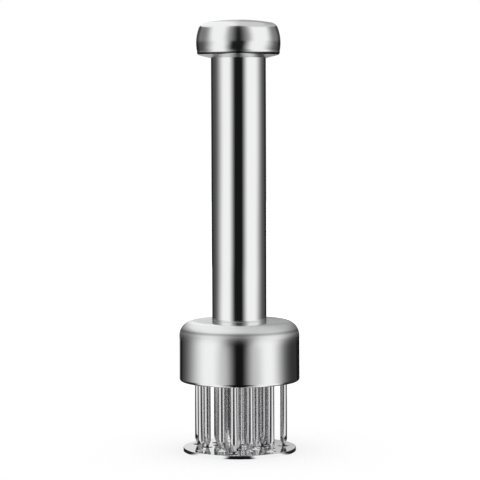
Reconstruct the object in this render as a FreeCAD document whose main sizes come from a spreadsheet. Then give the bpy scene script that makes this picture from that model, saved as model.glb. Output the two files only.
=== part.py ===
"""Hand meat tenderizer: a steel head of needle blades under a tube handle, with a sprung guard plate.

The needles stand in three rings in the head. Their points rest in the holes of a round guard plate. The plate
is screwed to a rod that slides up through the head into the handle, where a spring pushes it down again.
Sizes are in millimetres. The origin is the middle of the guard plate's underside, and +Z runs up the handle.
"""

import FreeCAD, Part
import math
import os
import re

import Sketcher
from FreeCAD import Vector

# ---------------------------------------------------------------------------------------------- sizes

SIZES = {
    # guard plate
    "plate_inset": 1.75,  # how far the plate's edge stays inside the bell's side
    "plate_thickness": 1.7,
    "plate_edge_bevel": 0.35,
    "needle_play": 0.65,  # gap all round a needle in its guard hole
    # needle blades and the rings that they stand in
    "needles_per_ring": 7,
    "middle_ring_step": 4.45,  # from the inner ring out to the middle one
    "holder_margin": 3.1,  # metal left in the holder outside the outer needles' heads
    "ring_turn": 5.5,  # degrees from +X to the first needle of the inner and outer rings
    "needle_radius": 1.6,
    "needle_head_radius": 2.5,
    "needle_head_angle": 60,  # degrees, the whole cone
    "needle_seat_play": 0.05,
    "point_length": 6.0,  # height over which the four facets run out on the shank
    "point_flat": 0.12,  # half the width of the blunt end
    "point_facets": 4,
    "point_turn": 45,  # degrees, so that a ridge faces the front
    "point_depth": 0.8,  # how far the points stand in the guard holes
    # head
    "bell_radius": 28.0,
    "bell_height": 27.7,
    "bell_wall": 1.4,
    "bell_shoulder": 7.0,
    "bell_fall": 0.5,  # fall of the top from the handle to the edge, before the shoulder is rounded
    "bell_rim_bevel": 0.35,
    "needle_gap": 31.8,  # from the guard plate's top to the bell's rim at rest
    "holder_recess": 5.0,  # from the bell's rim up to the needle holder
    "holder_thickness": 6.0,
    "holder_play": 0.3,  # gap between the holder's edge and the bell
    "holder_edge_bevel": 0.6,
    "backing_thickness": 2.0,
    # sleeve that clamps the needles, and its nut
    "sleeve_inset": 1.7,  # how far the sleeve's side stays inside the tube's
    "sleeve_flange_radius": 19.0,
    "sleeve_flange_thickness": 2.5,
    "sleeve_neck_radius": 6.25,
    "sleeve_socket_depth": 9.0,
    "clamp_nut_radius": 8.5,
    "clamp_nut_gap": 0.55,  # between the nut and the inner needles
    "clamp_nut_thickness": 3.4,
    "clamp_nut_notches": 4,
    "clamp_nut_notch_width": 2.0,
    "clamp_nut_notch_depth": 1.2,
    # bush that guides the rod
    "bush_radius": 4.5,
    "bush_length": 10.0,
    "bush_flange_radius": 5.6,
    "bush_flange_thickness": 1.0,
    # handle
    "tube_radius": 12.7,
    "tube_wall": 1.5,
    "tube_length": 121.4,
    "ferrule_depth": 14.0,
    "ferrule_neck_radius": 7.0,
    "ferrule_neck_length": 9.9,
    "buffer_thickness": 1.5,
    "buffer_play": 1.4,  # gap between the buffer and the tube
    "plug_depth": 11.6,
    "plug_spigot_length": 4.0,
    "stud_radius": 5.0,
    "stud_length": 11.0,
    # knob
    "knob_radius": 19.52,
    "knob_height": 17.4,
    "knob_seat_margin": 0.7,  # how far the flat seat reaches past the tube
    "knob_belt_height": 6.9,  # from the tube's end up to the widest level
    "knob_crown_radius": 90.0,
    "knob_round": 3.6,  # between the side and the crown
    "knob_lip_inset": 1.37,  # from the widest level in to the underside's outer edge
    "knob_lip_rise": 1.5,  # rise of the underside from the seat to its outer edge
    "knob_lip_height": 2.9,  # from the tube's end up to the side's lower edge
    "knob_lip_round": 1.35,
    # sliding rod and what stands on it
    "rod_radius": 3.0,
    "rod_play": 0.07,  # running gap all round the rod
    "rod_foot_radius": 4.6,
    "rod_foot_thickness": 1.3,
    "rod_shoulder": 0.5,  # step from the rod in to its threaded end
    "rod_end_length": 10.6,
    "rod_end_bevel": 0.5,
    "collar_thickness": 2.5,
    "collar_spigot_length": 2.0,
    "collar_play": 0.5,
    "nut_across_corners": 9.2,
    "nut_thickness": 4.0,
    "screw_radius": 1.5,
    "screw_head_radius": 2.9,
    "screw_head_height": 1.4,
    "screw_length": 9.0,
    "screw_slot_width": 0.8,
    "screw_slot_depth": 0.6,
    "screw_sink": 0.05,  # the screw's head stands this far inside the plate
    "tapped_depth": 9.5,
    # spring
    "wire_radius": 0.65,
    "wire_sides": 6,
    "spring_radius": 7.5,  # to the middle of the wire
    "spring_turns": 8,
    "spring_play": 0.3,  # gap between the spring and the spigots that centre it
    # common fits
    "press_play": 0.03,  # gap all round two pieces that are pressed or screwed together
}

# Heights above the guard plate's underside, in terms of the sizes.
LEVELS = {
    "plate_top": "plate_thickness",
    "point_tip": "plate_top - point_depth",
    "foot_top": "plate_top + rod_foot_thickness",
    "rim": "plate_top + needle_gap",
    "holder_bottom": "rim + holder_recess",
    "holder_top": "holder_bottom + holder_thickness",
    "needle_seat": "holder_top - (needle_head_radius - needle_radius) / tan(needle_head_angle / 2)",
    "backing_top": "holder_top + backing_thickness",
    "flange_top": "backing_top + sleeve_flange_thickness",
    "sleeve_bottom": "holder_bottom - clamp_nut_thickness",
    "bush_bottom": "sleeve_bottom - bush_flange_thickness",
    "bush_top": "sleeve_bottom + bush_length",
    "bell_top": "rim + bell_height",
    "bell_roof": "bell_top - bell_wall",
    "socket_floor": "bell_roof - sleeve_socket_depth",
    "neck_bottom": "bell_top - ferrule_neck_length",
    "ferrule_top": "bell_top + ferrule_depth",
    "collar_bottom": "ferrule_top + buffer_thickness",
    "collar_top": "collar_bottom + collar_thickness",
    "spigot_top": "collar_top + collar_spigot_length",
    "rod_top": "collar_bottom + rod_end_length",
    "tube_top": "bell_top + tube_length",
    "plug_bottom": "tube_top - plug_depth",
    "knob_top": "tube_top + knob_height",
    "knob_belt": "tube_top + knob_belt_height",
    "knob_side_bottom": "tube_top + knob_lip_height",
    "crown_centre": "knob_top - knob_crown_radius",
}

# Radii that follow from others, mostly by a clearance.
FITS = {
    "guard_hole_radius": "needle_radius + needle_play",
    "needle_bore": "needle_radius + needle_seat_play",
    "needle_seat_radius": "needle_head_radius + needle_seat_play",
    "bell_bore": "bell_radius - bell_wall",
    "holder_radius": "bell_bore - holder_play",
    "plate_radius": "bell_radius - plate_inset",
    "inner_ring": "clamp_nut_radius + clamp_nut_gap + needle_radius",
    "middle_ring": "inner_ring + middle_ring_step",
    "outer_ring": "holder_radius - holder_margin - needle_seat_radius",
    "tube_bore": "tube_radius - tube_wall",
    "plug_radius": "tube_bore - press_play",
    "sleeve_radius": "tube_radius - sleeve_inset",
    "rod_bore": "rod_radius + rod_play",
    "rod_end_radius": "rod_radius - rod_shoulder",
    "buffer_radius": "tube_bore - buffer_play",
    "collar_radius": "tube_bore - collar_play",
    "spigot_radius": "spring_radius - wire_radius - spring_play",
    "spring_length": "plug_bottom - collar_top",
    "spring_pitch": "spring_length / spring_turns",
    # the shoulder's arc leaves the bell's side, and meets its slanted top, this far from where the two would cross
    "bell_run": "bell_radius - tube_radius",
    "bell_slant": "sqrt(bell_run^2 + bell_fall^2)",
    "shoulder_reach": "bell_shoulder * (bell_slant - bell_fall) / bell_run",
    # the knob's side is part of a ball about the belt, and its crown is part of a larger ball: the round's centre
    # is as far inside both as its own radius
    "crown_depth": "knob_belt - crown_centre",
    "side_reach": "knob_radius - knob_round",
    "crown_reach": "knob_crown_radius - knob_round",
    "round_rise": "(crown_reach^2 - side_reach^2 - crown_depth^2) / (2 * crown_depth)",
    "round_out": "sqrt(side_reach^2 - round_rise^2)",
}

NAME = re.compile(r"[A-Za-z_]\w*")

doc = FreeCAD.newDocument("MeatTenderizer")
sheet = doc.addObject("Spreadsheet::Sheet", "Sizes")
for row, (alias, value) in enumerate(SIZES.items(), start=1):
    sheet.set(f"A{row}", alias)
    sheet.set(f"B{row}", str(value))
    sheet.setAlias(f"B{row}", alias)
doc.recompute()


def formula(text):
    """Write a sum in plain size names as an expression on the sheet's cells."""

    def cell(match):
        word = match[0]
        worked_out = LEVELS.get(word) or FITS.get(word)
        if worked_out:
            return f"({formula(worked_out)})"
        return f"Sizes.{word}" if word in SIZES else word

    return NAME.sub(cell, str(text))


def number(text):
    """Work out a sum in plain size names."""
    return float(sheet.evalExpression(formula(text)))


# ------------------------------------------------------------------------------------------- sketches


def new_body(name):
    """An empty body whose label names its file."""
    body = doc.addObject("PartDesign::Body", name)
    body.Label = name
    return body


def origin_plane(body, role):
    """One of the body's own origin planes."""
    return next(item for item in body.Origin.OriginFeatures if item.Role == role)


def new_sketch(body, name, plane, height=None):
    """An empty sketch on an origin plane, lifted to a height along the plane's normal."""
    sketch = body.newObject("Sketcher::SketchObject", name)
    sketch.AttachmentSupport = (origin_plane(body, plane), "")
    sketch.MapMode = "FlatFace"
    if height is not None:
        sketch.setExpression(".AttachmentOffset.Base.z", formula(height))
    return sketch


def bind(sketch, kind, refs, text):
    """Add a constraint whose value is bound to the sheet."""
    index = sketch.addConstraint(Sketcher.Constraint(kind, *refs, number(text)))
    sketch.setExpression(f"Constraints[{index}]", formula(text))


def place_point(sketch, geometry, position, x, y):
    """Tie one point of a sketch to its distances from the origin, or to an axis where it lies on one."""
    origin = (-1, 1)
    for kind, text, axis in (("DistanceX", x, -2), ("DistanceY", y, -1)):
        if text == "0":
            sketch.addConstraint(Sketcher.Constraint("PointOnObject", geometry, position, axis))
        else:
            bind(sketch, kind, (*origin, geometry, position), text)


def arc_between(start, end, radius):
    """The short arc from start to end that stands out to the right of the way from one to the other."""
    along = end - start
    outwards = Vector(along.y, -along.x, 0).normalize()
    height = radius - math.sqrt(radius**2 - (along.Length / 2) ** 2)
    return Part.Arc(start, (start + end) * 0.5 + outwards * height, end)


def draw_outline(sketch, corners):
    """Draw a closed outline through (x, y) corners, anticlockwise.

    A third value is the radius of an outward arc, which arrives at that corner in place of a straight line.
    """
    points = [Vector(number(corner[0]), number(corner[1]), 0) for corner in corners]
    starts = []
    for index, corner in enumerate(corners):
        start, end = points[index - 1], points[index]
        start_point = 1
        if len(corner) == 3:
            radius = corner[2]
            geometry = sketch.addGeometry(arc_between(start, end, number(radius)), False)
            bind(sketch, "Radius", (geometry,), radius)
            if (sketch.getPoint(geometry, 1) - start).Length > (sketch.getPoint(geometry, 2) - start).Length:
                start_point = 2
        else:
            geometry = sketch.addGeometry(Part.LineSegment(start, end), False)
        starts.append((geometry, start_point))
    for index, (geometry, start_point) in enumerate(starts):
        arriving, arriving_start = starts[index - 1]
        end_point = 3 - arriving_start
        sketch.addConstraint(Sketcher.Constraint("Coincident", arriving, end_point, geometry, start_point))
        x, y = corners[index - 1][:2]
        place_point(sketch, geometry, start_point, x, y)


def draw_circle(sketch, x, y, radius):
    """Draw a circle about a placed centre."""
    centre = Vector(number(x), number(y), 0)
    geometry = sketch.addGeometry(Part.Circle(centre, Vector(0, 0, 1), number(radius)), False)
    place_point(sketch, geometry, 3, x, y)
    bind(sketch, "Radius", (geometry,), radius)


# ------------------------------------------------------------------------------------------- features


def turned(name, corners):
    """A body turned about +Z from an outline of (radius, height) corners."""
    body = new_body(name)
    sketch = new_sketch(body, f"{name}_profile", "XZ_Plane")
    draw_outline(sketch, corners)
    turn = body.newObject("PartDesign::Revolution", f"{name}_turn")
    turn.Profile = sketch
    turn.ReferenceAxis = (sketch, ["V_Axis"])
    turn.Angle = 360
    body.Tip = turn
    doc.recompute()
    return body


def bored(body, name, corners):
    """Cut a turned recess, given by its outline of (radius, height) corners."""
    before = body.Shape.Volume
    sketch = new_sketch(body, f"{name}_profile", "XZ_Plane")
    draw_outline(sketch, corners)
    groove = body.newObject("PartDesign::Groove", name)
    groove.Profile = sketch
    groove.ReferenceAxis = (sketch, ["V_Axis"])
    groove.Angle = 360
    body.Tip = groove
    doc.recompute()
    check_cut(body, name, before)


def pocket(body, name, sketch):
    """Cut a sketch right through the body, both ways."""
    before = body.Shape.Volume
    cut = body.newObject("PartDesign::Pocket", name)
    cut.Profile = sketch
    cut.Type = "ThroughAll"
    cut.Midplane = True
    body.Tip = cut
    doc.recompute()
    check_cut(body, name, before)
    return cut


def pocket_down(body, name, sketch, depth):
    """Cut a sketch into the body, downwards from its own height."""
    before = body.Shape.Volume
    cut = body.newObject("PartDesign::Pocket", name)
    cut.Profile = sketch
    cut.Type = "Length"
    cut.setExpression("Length", formula(depth))
    body.Tip = cut
    doc.recompute()
    check_cut(body, name, before)
    return cut


def drilled(body, name, sketch, radius, head_radius=None, head_angle=None):
    """Drill right down through the body at a sketch's circles, countersunk where a head is given."""
    before = body.Shape.Volume
    doc.recompute()
    hole = body.newObject("PartDesign::Hole", name)
    hole.Profile = sketch
    hole.ThreadType = "None"
    hole.DepthType = "ThroughAll"
    hole.setExpression("Diameter", formula(f"2 * ({radius})"))
    if head_radius:
        hole.HoleCutType = "Countersink"
        hole.setExpression("HoleCutDiameter", formula(f"2 * ({head_radius})"))
        hole.setExpression("HoleCutCountersinkAngle", formula(head_angle))
    body.Tip = hole
    doc.recompute()
    check_cut(body, name, before)
    return hole


def repeat_round(body, name, original, count):
    """Repeat a cut at even steps round the body's +Z axis."""
    before = body.Shape.Volume
    axis_sketch = new_sketch(body, f"{name}_axis", "XY_Plane")
    pattern = body.newObject("PartDesign::PolarPattern", name)
    pattern.Originals = [original]
    pattern.Axis = (axis_sketch, ["N_Axis"])
    pattern.Angle = 360
    pattern.setExpression("Occurrences", formula(count))
    body.Tip = pattern
    doc.recompute()
    check_cut(body, name, before)


def check_cut(body, name, before):
    """Stop if a cut took nothing away."""
    if not body.Shape.Volume < before:
        raise RuntimeError(f"{name} cut nothing from {body.Label}")


def bevelled(body, name, size, at):
    """Bevel the circular edges of a body at the given (radius, height) places."""
    places = [(number(r), number(z)) for r, z in at]
    edges = []
    for index, edge in enumerate(body.Shape.Edges, start=1):
        if edge.Degenerated or not isinstance(edge.Curve, Part.Circle):
            continue
        circle = edge.Curve
        if any(math.dist((circle.Radius, circle.Center.z), place) < 0.01 for place in places):
            edges.append(f"Edge{index}")
    if len(edges) < len(places):
        raise RuntimeError(f"{name} found {len(edges)} edges for {len(places)} places")
    base = body.Tip
    bevel = body.newObject("PartDesign::Chamfer", name)
    bevel.Base = (base, edges)
    bevel.setExpression("Size", formula(size))
    body.Tip = bevel
    doc.recompute()


RINGS = (
    # ring radius, and how many half steps the ring is turned by
    ("inner_ring", 0),
    ("middle_ring", 1),
    ("outer_ring", 0),
)


def ring_angle(half_steps, step="0"):
    """Angle of one needle of a ring, in degrees from +X."""
    return f"(ring_turn + ({half_steps} + 2 * {step}) * 180 / needles_per_ring)"


def needle_holes(body, name, height, radius, *head):
    """Drill a hole for every needle: one of each ring, repeated round the axis."""
    sketch = new_sketch(body, f"{name}_places", "XY_Plane", height)
    for ring, half_steps in RINGS:
        angle = ring_angle(half_steps)
        draw_circle(sketch, f"{ring} * cos({angle})", f"{ring} * sin({angle})", radius)
    first = drilled(body, name, sketch, radius, *head)
    repeat_round(body, f"{name}_round", first, "needles_per_ring")


# ---------------------------------------------------------------------------------- guard and its rod


def guard_plate():
    """Round plate that the needles pass through, with a countersunk middle."""
    body = turned(
        "guard_plate",
        [("0", "0"), ("plate_radius", "0"), ("plate_radius", "plate_top"), ("0", "plate_top")],
    )
    rims = [("plate_radius", "0"), ("plate_radius", "plate_top")]
    bevelled(body, "plate_rims", "plate_edge_bevel", rims)
    needle_holes(body, "guard_holes", "plate_top", "guard_hole_radius")
    countersink = [
        ("0", "0"),
        ("screw_head_radius + press_play", "0"),
        ("screw_head_radius + press_play", "screw_sink"),
        ("screw_radius + press_play", "screw_head_height"),
        ("screw_radius + press_play", "plate_top"),
        ("0", "plate_top"),
    ]
    bored(body, "countersink", countersink)


def guide_rod():
    """Rod that carries the guard plate: a foot on the plate, and a thinner threaded end for the collar."""
    body = turned(
        "guide_rod",
        [
            ("0", "plate_top"),
            ("rod_foot_radius", "plate_top"),
            ("rod_foot_radius", "foot_top"),
            ("rod_radius", "foot_top"),
            ("rod_radius", "collar_bottom"),
            ("rod_end_radius", "collar_bottom"),
            ("rod_end_radius", "rod_top"),
            ("0", "rod_top"),
        ],
    )
    bevelled(body, "rod_tip_bevel", "rod_end_bevel", [("rod_end_radius", "rod_top")])
    tapped = [
        ("0", "plate_top"),
        ("screw_radius + press_play", "plate_top"),
        ("screw_radius + press_play", "plate_top + tapped_depth"),
        ("0", "plate_top + tapped_depth"),
    ]
    bored(body, "tapped_hole", tapped)


def guard_screw():
    """Countersunk screw, from below through the plate into the rod."""
    body = turned(
        "guard_screw",
        [
            ("0", "screw_sink"),
            ("screw_head_radius", "screw_sink"),
            ("screw_radius", "screw_head_height"),
            ("screw_radius", "screw_length"),
            ("0", "screw_length"),
        ],
    )
    slot = new_sketch(body, "screw_slot_place", "XY_Plane", "screw_sink + screw_slot_depth")
    half_width = "screw_slot_width / 2"
    half_length = "screw_head_radius * 2"
    draw_outline(
        slot,
        [
            (f"-({half_length})", f"-({half_width})"),
            (half_length, f"-({half_width})"),
            (half_length, half_width),
            (f"-({half_length})", half_width),
        ],
    )
    pocket_down(body, "screw_slot", slot, "screw_slot_depth * 2")


def rod_collar():
    """Collar clamped on the rod: it stops on the buffer, and its spigot centres the spring."""
    turned(
        "rod_collar",
        [
            ("rod_end_radius + press_play", "collar_bottom"),
            ("collar_radius", "collar_bottom"),
            ("collar_radius", "collar_top"),
            ("spigot_radius", "collar_top"),
            ("spigot_radius", "spigot_top"),
            ("rod_end_radius + press_play", "spigot_top"),
        ],
    )


def lock_nut():
    """Hexagon nut that holds the collar against the rod's shoulder."""
    blank = doc.addObject("Part::Prism", "lock_nut_blank")
    blank.Polygon = 6
    blank.setExpression("Circumradius", formula("nut_across_corners / 2"))
    blank.setExpression("Height", formula("nut_thickness"))
    hole = doc.addObject("Part::Cylinder", "lock_nut_hole")
    hole.setExpression("Radius", formula("rod_end_radius + press_play"))
    hole.setExpression("Height", formula("nut_thickness"))
    nut = doc.addObject("Part::Cut", "lock_nut")
    nut.Base = blank
    nut.Tool = hole
    nut.Label = "lock_nut"
    nut.setExpression(".Placement.Base.z", formula("spigot_top"))


# ------------------------------------------------------------------------------------------------ head


def head_bell():
    """Pressed bell: a cup with a rounded shoulder, open below, with a hole for the ferrule's neck."""
    body = turned(
        "head_bell",
        [
            ("0", "rim"),
            ("bell_radius", "rim"),
            ("bell_radius", "bell_top - bell_fall - shoulder_reach"),
            (
                "bell_radius - shoulder_reach * bell_run / bell_slant",
                "bell_top - bell_fall + shoulder_reach * bell_fall / bell_slant",
                "bell_shoulder",
            ),
            ("tube_radius", "bell_top"),
            ("0", "bell_top"),
        ],
    )
    hollow_out(body, "bell_hollow", "bell_wall", "rim")
    neck_hole = new_sketch(body, "neck_hole_place", "XY_Plane", "bell_top")
    draw_circle(neck_hole, "0", "0", "ferrule_neck_radius + press_play")
    drilled(body, "neck_hole", neck_hole, "ferrule_neck_radius + press_play")
    rims = [("bell_radius", "rim"), ("bell_bore", "rim")]
    bevelled(body, "bell_rims", "bell_rim_bevel", rims)


def hollow_out(body, name, wall, open_height):
    """Shell a body to an even wall, open at the flat face at the given height."""
    before = body.Shape.Volume
    level = number(open_height)
    faces = [
        f"Face{index}"
        for index, face in enumerate(body.Shape.Faces, start=1)
        if isinstance(face.Surface, Part.Plane) and abs(face.CenterOfMass.z - level) < 0.01
    ]
    base = body.Tip
    shell = body.newObject("PartDesign::Thickness", name)
    shell.Base = (base, faces)
    shell.setExpression("Value", formula(wall))
    shell.Reversed = True
    shell.Mode = "Skin"
    shell.Join = "Intersection"
    body.Tip = shell
    doc.recompute()
    check_cut(body, name, before)


def needle_holder():
    """Thick disc that the needles hang in by their heads, with a countersunk hole for each."""
    body = turned(
        "needle_holder",
        [
            ("sleeve_neck_radius + press_play", "holder_bottom"),
            ("holder_radius", "holder_bottom"),
            ("holder_radius", "holder_top"),
            ("sleeve_neck_radius + press_play", "holder_top"),
        ],
    )
    edge = [("holder_radius", "holder_bottom")]
    bevelled(body, "holder_bevel", "holder_edge_bevel", edge)
    seat = ("needle_seat_radius", "needle_head_angle")
    needle_holes(body, "needle_bores", "holder_top", "needle_bore", *seat)


def backing_plate():
    """Plain disc that shuts the needle heads in their seats."""
    turned(
        "backing_plate",
        [
            ("sleeve_neck_radius + press_play", "holder_top"),
            ("holder_radius", "holder_top"),
            ("holder_radius", "backing_top"),
            ("sleeve_neck_radius + press_play", "backing_top"),
        ],
    )


def head_sleeve():
    """Hollow sleeve between the bell's roof and the needle pack, with a socket above and a neck below."""
    turned(
        "head_sleeve",
        [
            ("bush_radius + press_play", "sleeve_bottom"),
            ("sleeve_neck_radius", "sleeve_bottom"),
            ("sleeve_neck_radius", "backing_top"),
            ("sleeve_flange_radius", "backing_top"),
            ("sleeve_flange_radius", "flange_top"),
            ("sleeve_radius", "flange_top"),
            ("sleeve_radius", "bell_roof"),
            ("ferrule_neck_radius + press_play", "bell_roof"),
            ("ferrule_neck_radius + press_play", "socket_floor"),
            ("rod_bore + rod_play", "socket_floor"),
            ("rod_bore + rod_play", "bush_top + press_play"),
            ("bush_radius + press_play", "bush_top + press_play"),
        ],
    )


def clamp_nut():
    """Round notched nut that draws the needle pack up against the sleeve's flange."""
    body = turned(
        "clamp_nut",
        [
            ("sleeve_neck_radius + press_play", "sleeve_bottom"),
            ("clamp_nut_radius", "sleeve_bottom"),
            ("clamp_nut_radius", "holder_bottom"),
            ("sleeve_neck_radius + press_play", "holder_bottom"),
        ],
    )
    notch = new_sketch(body, "clamp_nut_notch_place", "XY_Plane", "sleeve_bottom + clamp_nut_notch_depth")
    half_width = "clamp_nut_notch_width / 2"
    inside, outside = "sleeve_neck_radius / 2", "clamp_nut_radius * 2"
    draw_outline(
        notch,
        [
            (inside, f"-({half_width})"),
            (outside, f"-({half_width})"),
            (outside, half_width),
            (inside, half_width),
        ],
    )
    first = pocket_down(body, "clamp_nut_notch", notch, "clamp_nut_notch_depth * 2")
    repeat_round(body, "clamp_nut_notches", first, "clamp_nut_notches")


def guide_bush():
    """Flanged bush in the sleeve's lower end that guides the rod."""
    turned(
        "guide_bush",
        [
            ("rod_bore", "bush_bottom"),
            ("bush_flange_radius", "bush_bottom"),
            ("bush_flange_radius", "sleeve_bottom"),
            ("bush_radius", "sleeve_bottom"),
            ("bush_radius", "bush_top"),
            ("rod_bore", "bush_top"),
        ],
    )


def needle_blade(name, ring, half_steps, step):
    """Needle blade: a round shank with a countersunk head, ground to a four-sided point."""
    body = turned(
        name,
        [
            ("0", "point_tip"),
            ("needle_radius", "point_tip"),
            ("needle_radius", "needle_seat"),
            ("needle_head_radius", "holder_top"),
            ("0", "holder_top"),
        ],
    )
    facet = new_sketch(body, f"{name}_facet_place", "XZ_Plane")
    reach = "needle_radius * 1.5"
    draw_outline(
        facet,
        [
            ("0", "point_tip - point_flat"),
            (reach, "point_tip - point_flat"),
            (reach, f"point_tip + ({reach} - point_flat) * point_length / needle_radius"),
            ("point_flat", "point_tip"),
            ("0", "point_tip"),
        ],
    )
    first = pocket(body, f"{name}_facet", facet)
    repeat_round(body, f"{name}_point", first, "point_facets")
    angle = ring_angle(half_steps, step)
    body.setExpression(".Placement.Base.x", formula(f"{ring} * cos({angle})"))
    body.setExpression(".Placement.Base.y", formula(f"{ring} * sin({angle})"))
    body.setExpression(".Placement.Rotation.Angle", formula("point_turn"))


def needle_blades():
    """All the needles, numbered ring by ring from the inside."""
    count = 0
    for ring, half_steps in RINGS:
        for step in range(SIZES["needles_per_ring"]):
            count += 1
            needle_blade(f"needle_blade_{count:02d}", ring, half_steps, step)


# ---------------------------------------------------------------------------------------------- handle


def handle_tube():
    """Plain tube between the bell and the knob."""
    turned(
        "handle_tube",
        [
            ("tube_bore", "bell_top"),
            ("tube_radius", "bell_top"),
            ("tube_radius", "tube_top"),
            ("tube_bore", "tube_top"),
        ],
    )


def handle_ferrule():
    """Ferrule in the tube's foot: its neck goes through the bell into the sleeve, and the rod runs in its bore."""
    turned(
        "handle_ferrule",
        [
            ("rod_bore", "neck_bottom"),
            ("ferrule_neck_radius", "neck_bottom"),
            ("ferrule_neck_radius", "bell_top"),
            ("plug_radius", "bell_top"),
            ("plug_radius", "ferrule_top"),
            ("rod_bore", "ferrule_top"),
        ],
    )


def stop_buffer():
    """Rubber ring on the ferrule that the collar comes down on."""
    turned(
        "stop_buffer",
        [
            ("rod_bore + rod_play", "ferrule_top"),
            ("buffer_radius", "ferrule_top"),
            ("buffer_radius", "collar_bottom"),
            ("rod_bore + rod_play", "collar_bottom"),
        ],
    )


def top_plug():
    """Plug in the tube's top: a spigot for the spring below, and a threaded stud for the knob above."""
    body = turned(
        "top_plug",
        [
            ("0", "plug_bottom - plug_spigot_length"),
            ("spigot_radius", "plug_bottom - plug_spigot_length"),
            ("spigot_radius", "plug_bottom"),
            ("plug_radius", "plug_bottom"),
            ("plug_radius", "tube_top"),
            ("stud_radius", "tube_top"),
            ("stud_radius", "tube_top + stud_length"),
            ("0", "tube_top + stud_length"),
        ],
    )
    end = [("stud_radius", "tube_top + stud_length")]
    bevelled(body, "stud_bevel", "rod_end_bevel", end)


def knob():
    """Turned knob: a seat on the tube, a rising underside, a barrel side and a crowned top."""
    side_end = "knob_radius / side_reach"
    crown_end = "knob_crown_radius / crown_reach"
    body = turned(
        "knob",
        [
            ("0", "tube_top"),
            ("tube_radius + knob_seat_margin", "tube_top"),
            ("knob_radius - knob_lip_inset", "tube_top + knob_lip_rise"),
            ("sqrt(knob_radius^2 - (knob_belt - knob_side_bottom)^2)", "knob_side_bottom", "knob_lip_round"),
            (f"round_out * {side_end}", f"knob_belt + round_rise * {side_end}", "knob_radius"),
            (
                f"round_out * {crown_end}",
                f"crown_centre + (round_rise + crown_depth) * {crown_end}",
                "knob_round",
            ),
            ("0", "knob_top", "knob_crown_radius"),
        ],
    )
    socket = [
        ("0", "tube_top"),
        ("stud_radius + press_play", "tube_top"),
        ("stud_radius + press_play", "tube_top + stud_length + rod_end_bevel"),
        ("0", "tube_top + stud_length + rod_end_bevel"),
    ]
    bored(body, "knob_socket", socket)


def return_spring():
    """Compression spring between the collar and the plug, its ends ground flat on their seats."""
    coil = doc.addObject("Part::Helix", "spring_coil")
    coil.setExpression("Pitch", formula("spring_pitch"))
    coil.setExpression("Height", formula("spring_length"))
    coil.setExpression("Radius", formula("spring_radius"))
    wire = doc.addObject("Part::RegularPolygon", "spring_wire")
    wire.setExpression("Polygon", formula("wire_sides"))
    wire.setExpression("Circumradius", formula("wire_radius"))
    wire.Placement = FreeCAD.Placement(Vector(), FreeCAD.Rotation(Vector(1, 0, 0), 90))
    wire.setExpression(".Placement.Base.x", formula("spring_radius"))
    sweep = doc.addObject("Part::Sweep", "spring_sweep")
    sweep.Sections = [wire]
    sweep.Spine = (coil, [f"Edge{index}" for index in range(1, number_of_edges(coil) + 1)])
    sweep.Solid = True
    sweep.Frenet = True
    between = doc.addObject("Part::Cylinder", "spring_room")
    between.setExpression("Radius", formula("spring_radius + 2 * wire_radius"))
    between.setExpression("Height", formula("spring_length"))
    spring = doc.addObject("Part::MultiCommon", "return_spring")
    spring.Shapes = [sweep, between]
    spring.Label = "return_spring"
    spring.setExpression(".Placement.Base.z", formula("collar_top"))


def number_of_edges(item):
    """How many edges an object has once it is worked out."""
    doc.recompute()
    return len(item.Shape.Edges)


# --------------------------------------------------------------------------------------------- results


def sub_parts():
    """The objects that are pieces of the tenderizer: the bodies, and the results made from primitives."""
    made = [item for item in doc.Objects if item.TypeId == "PartDesign::Body"]
    made += [doc.getObject("lock_nut"), doc.getObject("return_spring")]
    return made


def check_document():
    """Stop if any object failed, or if a sub-part isn't one sound solid."""
    for item in doc.Objects:
        if "Invalid" in item.State or "Error" in item.State:
            raise RuntimeError(f"{item.Name} failed: {item.State}")
    for item in sub_parts():
        shape = item.Shape
        if shape.isNull() or not shape.isValid() or len(shape.Solids) != 1:
            raise RuntimeError(f"{item.Label} isn't one sound solid")


def export_parts():
    """Write each sub-part to a file named after its label."""
    os.makedirs("parts", exist_ok=True)
    for item in sub_parts():
        item.Shape.exportStep(f"parts/{item.Label}.step")


guard_plate()
guide_rod()
guard_screw()
rod_collar()
lock_nut()
head_bell()
needle_holder()
backing_plate()
head_sleeve()
clamp_nut()
guide_bush()
needle_blades()
handle_tube()
handle_ferrule()
stop_buffer()
top_plug()
knob()
return_spring()
doc.recompute()
check_document()
export_parts()
print(f"{len(sub_parts())} sub-parts written, overall height {number('knob_top'):.1f} mm")
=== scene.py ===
"""A hand meat tenderizer in polished steel: needle head, sprung guard plate, tube handle and knob.

Lengths are in metres, and the tool's own are written as millimetres times MM. The frame's origin is the middle
of the guard plate's underside, and +Z runs up the handle.
"""

import math

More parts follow.
